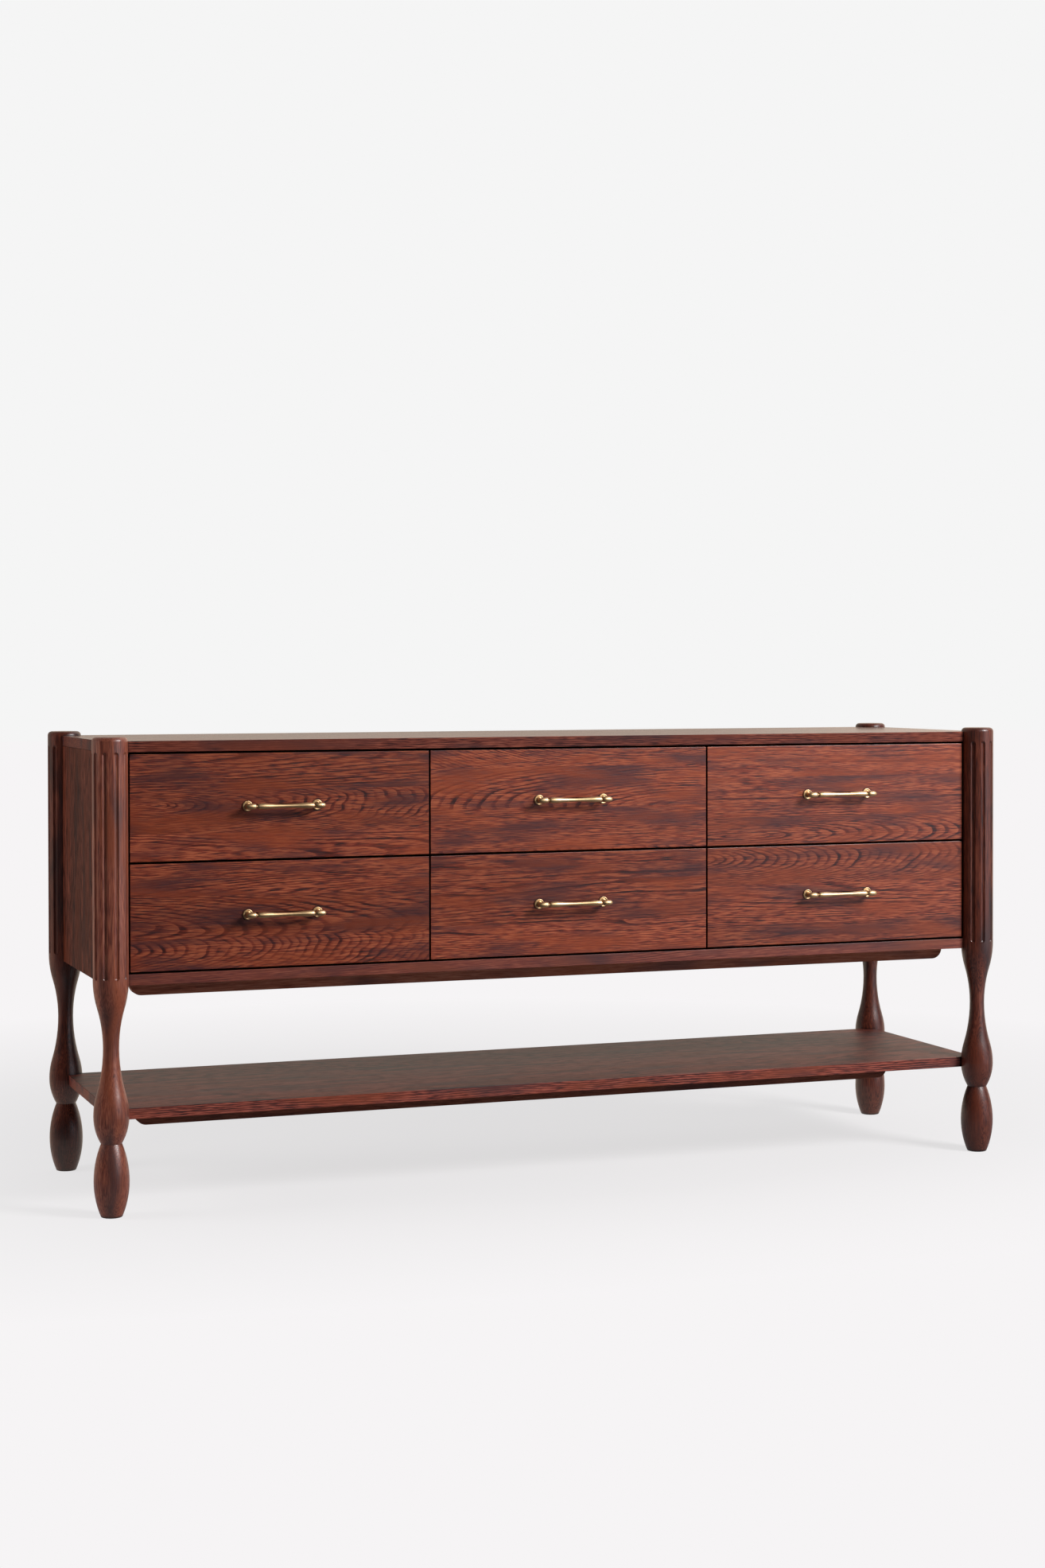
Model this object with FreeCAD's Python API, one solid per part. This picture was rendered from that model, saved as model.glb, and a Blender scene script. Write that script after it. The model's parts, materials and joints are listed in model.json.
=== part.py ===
import FreeCAD, Part
import math
import os

# A low dresser with six drawers and an open shelf, on four turned and fluted posts.
# Lengths are in millimetres. X runs along the front, Y from front to back, Z up from the floor.

Vector = FreeCAD.Vector

# Whole piece
overall_width = 1830.0
overall_depth = 520.0
overall_height = 858.0
columns = 3
rows = 2

# Turned posts: heights above the floor and radii, from the foot up
post_radius = 32.0
foot_radius = 18.9
foot_edge_round = 2.5
foot_bulge_height = 64.0
groove_height = 131.5
groove_radius = 18.8
bulb_height = 180.0
neck_height = 302.0
neck_radius = 14.4
shoulder_height = 424.0
post_top_round = 8.0
bulb_bend_share = 0.32
shoulder_bend_share = 0.41
post_core_share = 0.45

# Flutes, spread evenly round the outward side of each post
flute_count = 6
flute_pitch_degrees = 36.0
flute_width = 9.7
flute_depth = 3.0
flute_low_gap = 1.0
flute_top_gap = 27.0

# Case panels
post_rise = 8.0
side_set_out = 9.0
case_underside = 412.0
top_thickness = 20.0
bottom_thickness = 20.0
side_thickness = 20.0
divider_thickness = 20.0
back_thickness = 8.0

# Open shelf, centred on the bulbs of the posts
shelf_thickness = 20.0
shelf_edge_inset = 12.0

# Stiffening rails: a pair under the case and one under the middle of the shelf
case_rail_depth = 26.0
case_rail_thickness = 20.0
case_rail_inset = 61.0
case_rail_end_inset = 47.0
shelf_rail_depth = 49.0
shelf_rail_thickness = 20.0
shelf_rail_end_inset = 88.0
rail_corner_radius = 21.0

# Drawers
reveal = 3.5
front_thickness = 20.0
divider_clearance = 1.5
box_back_space = 40.0
box_edge_space = 22.0
box_side_thickness = 12.0
box_end_thickness = 12.0
box_bottom_thickness = 6.0
box_bottom_rise = 12.0
box_bottom_groove = 6.0

# Ball-bearing runners: two steel channels with ball strips between them, on each side of a drawer
runner_space = 12.7
runner_height = 45.0
runner_sheet = 1.5
runner_ball_gap = 4.0
ball_strip_length = 90.0
ball_strip_clearance = 0.3
runner_channel_share = 0.8
packer_height = 60.0

# Screws that hold the case runners
runner_screw_radius = 1.7
runner_screw_head_radius = 3.6
runner_screw_head_height = 1.4
runner_screw_bite_share = 0.42
runner_screw_place_shares = (0.2, 0.8)
screw_fit = 0.1

# Bar pulls
pull_reach = 24.0
pull_post_spacing = 131.0
pull_bead_length = 20.0
pull_bead_radius = 6.0
pull_waist_radius = 3.4
pull_swell_radius = 6.0
pull_swell_place = 42.0
pull_bar_end_radius = 4.9
pull_neck_length = 1.2
pull_bend_share = 0.5
pull_post_radius = 4.0
pull_post_end_share = 0.3
rosette_radius = 10.0
rosette_thickness = 2.4
rosette_edge_round = 1.0
rosette_cove_height = 7.0
pull_screw_radius = 2.0
pull_screw_head_radius = 4.0
pull_screw_head_height = 2.4
pull_screw_thread = 8.0

# Places that follow from the sizes above
post_x = overall_width / 2 - post_radius
post_y = overall_depth / 2 - post_radius
side_face = post_x + side_set_out
side_inner = side_face - side_thickness
case_face = post_y
top_level = overall_height - post_rise
top_underside = top_level - top_thickness
case_floor = case_underside + bottom_thickness
back_inner = post_y - back_thickness
shelf_underside = bulb_height - shelf_thickness / 2
shelf_level = bulb_height + shelf_thickness / 2
front_width = (2 * (post_x - post_radius) - (columns + 1) * reveal) / columns
front_height = (top_underside - case_floor - (rows + 1) * reveal) / rows
column_pitch = front_width + reveal
row_pitch = front_height + reveal
bay_half = (column_pitch - divider_thickness) / 2
front_back = front_thickness - case_face
divider_front = front_back + divider_clearance
box_depth = back_inner - front_back - box_back_space
box_height = front_height - 2 * box_edge_space
box_half = bay_half - runner_space
channel_depth = runner_space * runner_channel_share
pull_face = case_face + pull_reach + pull_bead_radius
row_shift = max(0, pull_face - overall_depth / 2) / 2


def block(x_ends, y_ends, z_ends):
    """A box between two ends along each axis, given in either order."""
    low = Vector(min(x_ends), min(y_ends), min(z_ends))
    high = Vector(max(x_ends), max(y_ends), max(z_ends))
    size = high - low
    return Part.makeBox(size.x, size.y, size.z, low)


def line(start, end):
    """A straight edge of a turned profile; points are (radius, height)."""
    return Part.makeLine(Vector(start[0], 0, start[1]), Vector(end[0], 0, end[1]))


def bow(crest, end):
    """A profile arc that leaves its crest parallel to the axis and stops at the end point."""
    fall = crest[0] - end[0]
    rise = end[1] - crest[1]
    half_turn = math.atan2(abs(fall), abs(rise))
    arc_radius = (fall**2 + rise**2) / (2 * abs(fall))
    drop = math.copysign(arc_radius * (1 - math.cos(half_turn)), fall)
    climb = math.copysign(arc_radius * math.sin(half_turn), rise)
    middle = Vector(crest[0] - drop, 0, crest[1] + climb)
    start_point = Vector(crest[0], 0, crest[1])
    end_point = Vector(end[0], 0, end[1])
    return Part.Arc(start_point, middle, end_point).toShape()


def s_curve(crest, neck, bend_share):
    """Two arcs that meet smoothly on the straight line between a crest and a neck."""
    meeting = tuple(a + (b - a) * bend_share for a, b in zip(crest, neck))
    return [bow(crest, meeting), bow(neck, meeting)]


def turn(edges):
    """Spin a closed profile into a solid round the Z axis."""
    wire = Part.Wire(Part.__sortEdges__(edges))
    return Part.Face(wire).revolve(Vector(0, 0, 0), Vector(0, 0, 1), 360)


def round_rim(solid, level, size):
    """Round the circular edge that lies flat at one level."""
    rims = [e for e in solid.Edges if max(abs(v.Z - level) for v in e.Vertexes) < size / 10]
    flat_rims = [e for e in rims if e.BoundBox.ZLength < size / 10]
    return solid.makeFillet(size, flat_rims)


def flute_cutter():
    """The cutter for one flute: a rod with ball ends, on the side that faces +X."""
    half_width = flute_width / 2
    crown = post_radius - math.sqrt(post_radius**2 - half_width**2)
    sag = flute_depth - crown
    cutter_radius = (half_width**2 + sag**2) / (2 * sag)
    reach = post_radius - flute_depth + cutter_radius
    low = shoulder_height + flute_low_gap + half_width
    high = overall_height - flute_top_gap - half_width
    rod = Part.makeCylinder(cutter_radius, high - low, Vector(reach, 0, low))
    balls = [Part.makeSphere(cutter_radius, Vector(reach, 0, z)) for z in (low, high)]
    return rod.fuse(balls)


def plain_post():
    """A turned post on the Z axis, with its flutes facing +X."""
    floor = (foot_radius, 0)
    bulge = (post_radius, foot_bulge_height)
    groove = (groove_radius, groove_height)
    bulb = (post_radius, bulb_height)
    neck = (neck_radius, neck_height)
    shoulder = (post_radius, shoulder_height)
    top = (post_radius, overall_height)
    edges = [line((0, 0), floor), bow(bulge, floor), bow(bulge, groove), bow(bulb, groove)]
    edges += s_curve(bulb, neck, bulb_bend_share)
    edges += s_curve(shoulder, neck, shoulder_bend_share)
    edges += [line(shoulder, top), line(top, (0, overall_height)), line((0, overall_height), (0, 0))]
    post = round_rim(turn(edges), overall_height, post_top_round)
    post = round_rim(post, 0, foot_edge_round)
    cutter = flute_cutter()
    for number in range(flute_count):
        turned = cutter.copy()
        angle = (number - (flute_count - 1) / 2) * flute_pitch_degrees
        turned.rotate(Vector(0, 0, 0), Vector(0, 0, 1), angle)
        post = post.cut(turned)
    return post


def post_corners():
    """The four post corners as name, X sign and Y sign."""
    return [
        ("front_left", -1, -1),
        ("front_right", 1, -1),
        ("back_left", -1, 1),
        ("back_right", 1, 1),
    ]


def notch_for_posts(panel):
    """Cut a panel's corners back, so that the core of each post runs on through them."""
    core = post_radius * post_core_share
    for _, side, end in post_corners():
        x, y = side * post_x, end * post_y
        panel = panel.cut(block((x - core, x + core), (y - core, y + core), (0, overall_height)))
    return panel


def case_panels():
    """The flat panels of the case and the shelf, by name."""
    full_depth = (-case_face, case_face)
    bay_height = (case_floor, top_underside)
    panels = {
        "top_panel": block((-side_face, side_face), full_depth, (top_underside, top_level)),
        "bottom_panel": block((-side_inner, side_inner), full_depth, (case_underside, case_floor)),
        "back_panel": block((-side_inner, side_inner), (back_inner, post_y), bay_height),
    }
    for name, side in (("side_panel_left", -1), ("side_panel_right", 1)):
        side_span = (side * side_inner, side * side_face)
        panels[name] = block(side_span, (-post_y, post_y), (case_underside, top_underside))
    panels = {name: notch_for_posts(panel) for name, panel in panels.items()}
    shelf_y = post_y - shelf_edge_inset
    panels["shelf"] = block((-post_x, post_x), (-shelf_y, shelf_y), (shelf_underside, shelf_level))
    return panels


def dividers():
    """The upright boards between the drawer columns, by name."""
    boards = {}
    for name, side in (("divider_left", -1), ("divider_right", 1)):
        middle = side * column_pitch / 2
        x_ends = (middle - divider_thickness / 2, middle + divider_thickness / 2)
        boards[name] = block(x_ends, (divider_front, back_inner), (case_floor, top_underside))
    return boards


def rail(half_length, y_ends, top, depth):
    """A long rail with its two lower corners rounded."""
    body = block((-half_length, half_length), y_ends, (top - depth, top))
    thickness = max(y_ends) - min(y_ends)
    middle = top - depth / 2
    low_edges = [e for e in body.Edges if e.BoundBox.ZMax < middle]
    corners = [e for e in low_edges if e.BoundBox.YLength > thickness / 2 > e.BoundBox.XLength]
    return body.makeFillet(rail_corner_radius, corners)


def rails():
    """The rails under the case and under the shelf, by name."""
    half_length = post_x - case_rail_end_inset
    outer = case_face - case_rail_inset
    inner = outer - case_rail_thickness
    half_shelf_rail = shelf_rail_thickness / 2
    shelf_half_length = post_x - shelf_rail_end_inset
    return {
        "case_rail_front": rail(half_length, (-outer, -inner), case_underside, case_rail_depth),
        "case_rail_back": rail(half_length, (inner, outer), case_underside, case_rail_depth),
        "shelf_rail": rail(
            shelf_half_length, (-half_shelf_rail, half_shelf_rail), shelf_underside, shelf_rail_depth
        ),
    }


def screw(start, toward, radius, length, head_radius, head_height, extra=0.0):
    """A screw whose head sits behind its start point; extra widens it into a hole cutter."""
    shank = Part.makeCylinder(radius + extra, length, start, toward)
    head = Part.makeCylinder(head_radius + extra, head_height, start, toward * -1)
    return shank.fuse(head)


def channel(web, mouth, y_ends, middle, height):
    """A steel channel: its web stands at one X and its flanges reach to the mouth."""
    sheet = math.copysign(runner_sheet, mouth - web)
    outer = block((web, mouth), y_ends, (middle - height / 2, middle + height / 2))
    half_gap = height / 2 - runner_sheet
    return outer.cut(block((web + sheet, mouth), y_ends, (middle - half_gap, middle + half_gap)))


def bays():
    """The six drawer places as name, column middle and row middle."""
    places = []
    for row, row_name in enumerate(("lower", "upper")):
        middle = case_floor + reveal + front_height / 2 + row * row_pitch
        for column, column_name in enumerate(("left", "middle", "right")):
            x = (column - (columns - 1) / 2) * column_pitch
            places.append((f"{row_name}_{column_name}", x, middle))
    return places


def case_runners():
    """Case halves of the runners, with the screws that hold them and the matching hole cutters."""
    y_ends = (divider_front, divider_front + box_depth)
    channels, screws, cutters = [], [], []
    height = runner_screw_head_height
    length = runner_sheet + divider_thickness * runner_screw_bite_share
    for _, x, middle in bays():
        for side in (-1, 1):
            web = x + side * bay_half
            member = channel(web, web - side * channel_depth, y_ends, middle, runner_height)
            for share in runner_screw_place_shares:
                y = divider_front + box_depth * share
                start = Vector(web - side * runner_sheet, y, middle)
                toward = Vector(side, 0, 0)
                sizes = (runner_screw_radius, length, runner_screw_head_radius, height)
                screws.append(screw(start, toward, *sizes))
                cutters.append(screw(start, toward, *sizes, screw_fit))
                member = member.cut(cutters[-1])
            channels.append(member)
    return channels, screws, cutters


def drawer_runner(x, side, middle):
    """The drawer half of one runner, with its ball strips resting on its flanges."""
    web = x + side * box_half
    back = divider_front + box_depth - divider_clearance
    half_height = runner_height / 2 - runner_sheet - runner_ball_gap
    pieces = [channel(web, web + side * channel_depth, (divider_front, back), middle, 2 * half_height)]
    strip_x = (web + side * channel_depth, web + side * (runner_space - channel_depth))
    strip_top = runner_height / 2 - runner_sheet - ball_strip_clearance
    for end in (-1, 1):
        z_ends = (middle + end * half_height, middle + end * strip_top)
        pieces.append(block(strip_x, (back - ball_strip_length, back), z_ends))
    return pieces


def packers():
    """Battens that bring the outer runners in past the posts."""
    length = post_y - post_radius
    battens = []
    for middle in sorted({bay[2] for bay in bays()}):
        for side in (-1, 1):
            inner = side * (column_pitch + bay_half)
            z_ends = (middle - packer_height / 2, middle + packer_height / 2)
            battens.append(block((inner, side * side_inner), (-length, length), z_ends))
    return battens


def pull_posts(x, middle):
    """The two turned posts of a pull, each with its rosette, standing on a drawer front."""
    end = pull_reach - pull_bead_radius * pull_post_end_share
    cove_end = (pull_post_radius, rosette_thickness + rosette_cove_height)
    rim = (rosette_radius - rosette_edge_round, rosette_thickness)
    edges = [
        line((0, 0), (rosette_radius, 0)),
        line((rosette_radius, 0), (rosette_radius, rosette_thickness - rosette_edge_round)),
        bow((rosette_radius, rosette_thickness - rosette_edge_round), rim),
        bow(cove_end, rim),
        line(cove_end, (pull_post_radius, end)),
        line((pull_post_radius, end), (0, end)),
        line((0, end), (0, 0)),
    ]
    posts = []
    for side in (-1, 1):
        post = turn(edges)
        post.rotate(Vector(0, 0, 0), Vector(1, 0, 0), 90)
        post.translate(Vector(x + side * pull_post_spacing / 2, -case_face, middle))
        posts.append(post)
    return posts


def pull_bar(x, middle):
    """The waisted bar with an oval bead at each end, drilled for its posts."""
    bead_place = pull_post_spacing / 2
    bead_half = pull_bead_length / 2
    bar_end = bead_place - bead_half
    swell = (pull_swell_radius, pull_swell_place)
    shoulder = (pull_bar_end_radius, bar_end - pull_neck_length)
    edges = s_curve(swell, (pull_waist_radius, 0), pull_bend_share)
    edges += [bow(swell, shoulder), line(shoulder, (pull_waist_radius, shoulder[1]))]
    edges += [line((pull_waist_radius, shoulder[1]), (pull_waist_radius, bead_place))]
    edges += [line((pull_waist_radius, bead_place), (0, bead_place))]
    edges += [line((0, bead_place), (0, 0)), line((0, 0), (pull_waist_radius, 0))]
    half_bar = turn(edges)
    bead = Part.makeSphere(pull_bead_radius)
    stretch = FreeCAD.Matrix()
    stretch.scale(1, 1, bead_half / pull_bead_radius)
    bead = bead.transformGeometry(stretch)
    bead.translate(Vector(0, 0, bead_place))
    half_bar = half_bar.fuse(bead)
    other_half = half_bar.mirror(Vector(0, 0, 0), Vector(0, 0, 1))
    bar = half_bar.fuse(other_half).removeSplitter()
    bar.rotate(Vector(0, 0, 0), Vector(0, 1, 0), 90)
    bar.translate(Vector(x, -case_face - pull_reach, middle))
    end = pull_reach - pull_bead_radius * pull_post_end_share
    for side in (-1, 1):
        foot = Vector(x + side * bead_place, -case_face, middle)
        bar = bar.cut(Part.makeCylinder(pull_post_radius + screw_fit, end, foot, Vector(0, -1, 0)))
    return bar


def drawer_front(x, middle):
    """The board that shows, in line with the edges of the top and bottom panels."""
    x_ends = (x - front_width / 2, x + front_width / 2)
    return block(x_ends, (-case_face, front_back), (middle - front_height / 2, middle + front_height / 2))


def drawer_box(x, middle):
    """The four upright boards of a drawer box and the bottom board let into them."""
    low, high = middle - box_height / 2, middle + box_height / 2
    box_back = front_back + box_depth
    inner_half = box_half - box_side_thickness
    inner_x = (x - inner_half, x + inner_half)
    boards = [block(inner_x, (front_back, front_back + box_end_thickness), (low, high))]
    boards.append(block(inner_x, (box_back - box_end_thickness, box_back), (low, high)))
    for side in (-1, 1):
        x_ends = (x + side * inner_half, x + side * box_half)
        boards.append(block(x_ends, (front_back, box_back), (low, high)))
    groove_half = inner_half + box_bottom_groove
    rim = box_end_thickness - box_bottom_groove
    bottom_z = (low + box_bottom_rise, low + box_bottom_rise + box_bottom_thickness)
    bottom = block((x - groove_half, x + groove_half), (front_back + rim, box_back - rim), bottom_z)
    return [board.cut(bottom) for board in boards], bottom


def pull_screws(x, middle, extra=0.0):
    """The two screws that pass through the box and the front into the posts of a pull."""
    length = box_end_thickness + front_thickness + pull_screw_thread
    sizes = (pull_screw_radius, length, pull_screw_head_radius, pull_screw_head_height, extra)
    y = front_back + box_end_thickness
    places = [Vector(x + side * pull_post_spacing / 2, y, middle) for side in (-1, 1)]
    return [screw(place, Vector(0, -1, 0), *sizes) for place in places]


def drawer(x, middle):
    """All the pieces of one drawer, by short name."""
    holes = Part.makeCompound(pull_screws(x, middle, screw_fit))
    boards, bottom = drawer_box(x, middle)
    members = [member for side in (-1, 1) for member in drawer_runner(x, side, middle)]
    posts = [post.cut(holes) for post in pull_posts(x, middle)]
    return {
        "front": drawer_front(x, middle).cut(holes),
        "box_boards": Part.makeCompound([boards[0].cut(holes)] + boards[1:]),
        "box_bottom": bottom,
        "runners": Part.makeCompound(members),
        "pull_bar": pull_bar(x, middle),
        "pull_posts": Part.makeCompound(posts),
        "pull_screws": Part.makeCompound(pull_screws(x, middle)),
    }


def corner_posts(panels):
    """The four posts in place, each with housings for the panels that enter it."""
    post = plain_post()
    posts = {}
    for name, side, end in post_corners():
        corner_post = post.copy()
        outward = math.degrees(math.atan2(end, side))
        corner_post.rotate(Vector(0, 0, 0), Vector(0, 0, 1), outward)
        corner_post.translate(Vector(side * post_x, end * post_y, 0))
        for panel in panels:
            corner_post = corner_post.cut(panel)
        posts[f"post_{name}"] = corner_post
    return posts


def runner_parts():
    """Case halves of the runners and what they are screwed to, by name."""
    channels, screws, cutters = case_runners()
    battens = packers()
    boards = dividers()
    for cutter in cutters:
        battens = [b.cut(cutter) if b.BoundBox.intersect(cutter.BoundBox) else b for b in battens]
        for name, board in boards.items():
            if board.BoundBox.intersect(cutter.BoundBox):
                boards[name] = board.cut(cutter)
    boards["runner_packers"] = Part.makeCompound(battens)
    boards["case_runners"] = Part.makeCompound(channels)
    boards["runner_screws"] = Part.makeCompound(screws)
    return boards


def build():
    """Every piece of the dresser, by name."""
    panels = case_panels()
    pieces = {**panels, **corner_posts(panels.values()), **rails(), **runner_parts()}
    for name, x, middle in bays():
        for part, shape in drawer(x, middle).items():
            pieces[f"{name}_{part}"] = shape
    return pieces


os.makedirs("parts", exist_ok=True)
for piece_name, piece in build().items():
    piece.translate(Vector(0, row_shift, 0))
    piece.exportStep(f"parts/{piece_name}.step")
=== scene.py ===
import json
import math

import bmesh
import bpy
from mathutils import Euler, Matrix, Vector


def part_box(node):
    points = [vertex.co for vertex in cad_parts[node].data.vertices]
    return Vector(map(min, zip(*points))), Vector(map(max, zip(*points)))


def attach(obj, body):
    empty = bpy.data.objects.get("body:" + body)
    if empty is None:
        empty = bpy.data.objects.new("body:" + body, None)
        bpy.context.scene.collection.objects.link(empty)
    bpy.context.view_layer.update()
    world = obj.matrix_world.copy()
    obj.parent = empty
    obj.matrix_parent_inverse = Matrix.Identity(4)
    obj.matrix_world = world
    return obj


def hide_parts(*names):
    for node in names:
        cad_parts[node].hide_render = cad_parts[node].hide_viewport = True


# A low dresser of stained ash with brass pulls, dressed over its fixed frame.
# Lengths are in metres. X runs along the front, Y from front to back, Z up from the floor.

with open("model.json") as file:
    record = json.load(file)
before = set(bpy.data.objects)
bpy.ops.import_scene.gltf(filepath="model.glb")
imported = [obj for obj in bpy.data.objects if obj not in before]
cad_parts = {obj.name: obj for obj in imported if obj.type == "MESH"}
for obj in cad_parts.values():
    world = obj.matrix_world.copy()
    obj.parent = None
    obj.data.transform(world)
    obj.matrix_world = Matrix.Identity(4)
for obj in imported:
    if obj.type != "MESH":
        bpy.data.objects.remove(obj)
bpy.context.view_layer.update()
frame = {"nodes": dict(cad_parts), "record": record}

MM = 0.001
DRAWERS = [f"{row}_{column}" for row in ("lower", "upper") for column in ("left", "middle", "right")]
CASE_BOARDS = [
    "top_panel", "bottom_panel", "shelf", "side_panel_left", "side_panel_right",
    "case_rail_front", "case_rail_back", "shelf_rail",
]


# Where the pieces are, from the frame


def middle_of(node):
    """The middle of a CAD node's box at rest."""
    low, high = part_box(node)
    return (low + high) / 2


front_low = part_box("lower_left_front")[0]
front_middle = middle_of("lower_left_front")
column_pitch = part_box("lower_middle_front")[0].x - front_low.x
row_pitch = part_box("upper_left_front")[0].z - front_low.z
post_middle = middle_of("post_front_left")
back_post_middle = middle_of("post_back_left")


# Nodes and colours


def linear(hex_colour):
    """An sRGB hex colour as the linear colour that a shader takes."""
    parts = [int(hex_colour[i:i + 2], 16) / 255 for i in (1, 3, 5)]
    return (*[p / 12.92 if p <= 0.04045 else ((p + 0.055) / 1.055) ** 2.4 for p in parts], 1.0)


def grey(level):
    """A linear grey, for the stops of a ramp that stands for a number."""
    return (level, level, level, 1.0)


def add(tree, kind, inputs=None, stops=None, **settings):
    """Add a node; each input takes a value, a socket or the node whose first output feeds it.

    A MapRange takes its value as input 0, the range it comes in as 1 and 2, and the range it
    leaves in as 3 and 4. Those that aren't given run from 0 to 1.
    """
    node = tree.nodes.new("ShaderNode" + kind)
    for name, value in settings.items():
        setattr(node, name, value)
    for name, value in (inputs or {}).items():
        if isinstance(value, bpy.types.Node):
            value = value.outputs[0]
        if isinstance(value, bpy.types.NodeSocket):
            tree.links.new(value, node.inputs[name])
        else:
            node.inputs[name].default_value = value
    if stops:
        elements = node.color_ramp.elements
        while len(elements) < len(stops):
            elements.new(1.0)
        for element, (position, colour) in zip(elements, stops):
            element.position = position
            element.color = colour
    return node


def new_material(name):
    """An empty material and its node tree."""
    material = bpy.data.materials.new(name)
    material.use_nodes = True
    material.node_tree.nodes.clear()
    return material, material.node_tree


# Wood: boards, growth rings and pores

# Each board reads the noises at a place of its own, up to this far away
NOISE_SPREAD = 50
# The least sway of a board's rings, as a share of the most
LEAST_SWAY_SHARE = 0.35
# The faintest ring, as a share of the boldest
FAINTEST_RING_SHARE = 0.3
# Early wood through one year's ring: it starts sharply and fades into the dense late wood
RING_STEPS = [
    (0.0, grey(0.5)), (0.06, grey(1.0)), (0.24, grey(1.0)),
    (0.38, grey(0.25)), (0.7, grey(0.0)), (1.0, grey(0.0)),
]
# Stretches with clear wood are about 140 mm long and 22 mm wide, patches of stain 200 mm and 38 mm
CLEAR_SCALE = (7, 45, 45)
PATCH_SCALE = (5, 26, 26)
# Soft streaks are drawn from the same noise as the pores, at this share of its scale
STREAK_SCALE_SHARE = 0.3


def sawn_boards(tree, kind):
    """Divide a kind of timber into bays, such as one drawer front, and each bay into boards.

    Gives a point's place in its bay and on its board, and the random numbers of that board.
    """
    # X runs along the grain, Y across the board and Z into it
    split = add(tree, "SeparateXYZ", {0: add(tree, "TexCoord").outputs["Object"]})
    axes = {number: split.outputs[axis] for number, axis in enumerate(kind["axes"])}
    place = add(tree, "CombineXYZ", axes)
    from_middle = add(tree, "VectorMath", {0: place, 1: kind["middle"]}, operation="SUBTRACT")
    in_bays = add(tree, "VectorMath", {0: from_middle, 1: kind["bay"]}, operation="DIVIDE")
    bay_edge = add(tree, "VectorMath", {0: in_bays, 1: (0.5, 0.5, 0.5)}, operation="ADD")
    bay = add(tree, "VectorMath", {0: bay_edge}, operation="FLOOR")
    bay_start = add(tree, "VectorMath", {0: bay, 1: kind["bay"]}, operation="MULTIPLY")
    local = add(tree, "VectorMath", {0: from_middle, 1: bay_start}, operation="SUBTRACT")
    bay_name = add(tree, "VectorMath", {0: bay, 1: (kind["seed"],) * 3}, operation="ADD")
    bay_luck = add(tree, "TexWhiteNoise", {"Vector": bay_name}, noise_dimensions="3D")
    point = add(tree, "SeparateXYZ", {0: local}).outputs

    # Boards lie side by side, glued edge to edge; the first starts at another place in each bay
    stagger = add(tree, "Math", {0: bay_luck, 1: kind["stagger"], 2: 0.5}, operation="MULTIPLY_ADD")
    lane_scale = 1 / kind["board"]
    lanes = add(tree, "Math", {0: point[1], 1: lane_scale, 2: stagger}, operation="MULTIPLY_ADD")
    lane = add(tree, "Math", {0: lanes}, operation="FLOOR")
    lane_share = add(tree, "Math", {0: lanes}, operation="FRACT")
    half_board = kind["board"] / 2
    across = add(tree, "MapRange", {0: lane_share, 3: -half_board, 4: half_board})
    name = add(tree, "CombineXYZ", {0: bay_luck, 1: lane, 2: kind["seed"]})
    luck = add(tree, "TexWhiteNoise", {"Vector": name}, noise_dimensions="3D").outputs["Color"]
    other_name = add(tree, "CombineXYZ", {0: lane, 1: bay_luck, 2: kind["seed"] + 0.5})
    other_luck = add(tree, "TexWhiteNoise", {"Vector": other_name}, noise_dimensions="3D")
    return {
        "local": local,
        "along": point[0],
        "across": across,
        "into": point[2],
        "luck": add(tree, "SeparateXYZ", {0: luck}).outputs,
        "other_luck": add(tree, "SeparateXYZ", {0: other_luck.outputs["Color"]}).outputs,
        "noise_start": add(tree, "VectorMath", {0: luck, "Scale": NOISE_SPREAD}, operation="SCALE"),
    }


def place_in_noise(tree, board, scale):
    """A point's place in a stretched noise, of which each board shows another part."""
    inputs = {0: board["local"], 1: scale, 2: board["noise_start"]}
    return add(tree, "VectorMath", inputs, operation="MULTIPLY_ADD")


def pith_distance(tree, kind, board):
    """How far a point is from the pith line, which has its own place and slant in each board."""
    spread = kind["pith_spread"]
    near, far = kind["pith_depth"]
    pith_across = add(tree, "MapRange", {0: board["luck"][0], 3: -spread, 4: spread})
    pith_depth = add(tree, "MapRange", {0: board["luck"][1], 3: near, 4: far})
    off_pith = add(tree, "Math", {0: board["across"], 1: pith_across}, operation="SUBTRACT")
    depth = add(tree, "Math", {0: board["into"], 1: pith_depth}, operation="ADD")
    # The third power leaves most boards sawn nearly along the pith
    lean = add(tree, "MapRange", {0: board["luck"][2], 3: -1.0, 4: 1.0})
    lean = add(tree, "Math", {0: lean, 1: 3.0}, operation="POWER")
    slant = add(tree, "Math", {0: lean, 1: kind["slant"]}, operation="MULTIPLY")
    slanted = add(tree, "Math", {0: board["along"], 1: slant, 2: depth}, operation="MULTIPLY_ADD")
    straight = add(tree, "CombineXYZ", {1: off_pith, 2: slanted})

    # Rings wander as the tree grew, less along the grain than across it
    wave_along, wave_across, most_sway = kind["wave"]
    waves = place_in_noise(tree, board, (1 / wave_along, 1 / wave_across, 1 / wave_across))
    wander = add(tree, "TexNoise", {"Vector": waves, "Scale": 1.0, "Detail": 2.5, "Roughness": 0.4})
    sway = add(tree, "VectorMath", {0: wander.outputs["Color"], 1: (0.5, 0.5, 0.5)}, operation="SUBTRACT")
    sway = add(tree, "VectorMath", {0: sway, 1: (0, 1, 1)}, operation="MULTIPLY")
    least_sway = LEAST_SWAY_SHARE * most_sway
    sway_size = add(tree, "MapRange", {0: board["other_luck"][2], 3: least_sway, 4: most_sway})
    sway = add(tree, "VectorMath", {0: sway, "Scale": sway_size}, operation="SCALE")
    bent = add(tree, "VectorMath", {0: straight, 1: sway}, operation="ADD")
    return add(tree, "VectorMath", {0: bent}, operation="LENGTH").outputs["Value"]


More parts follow.
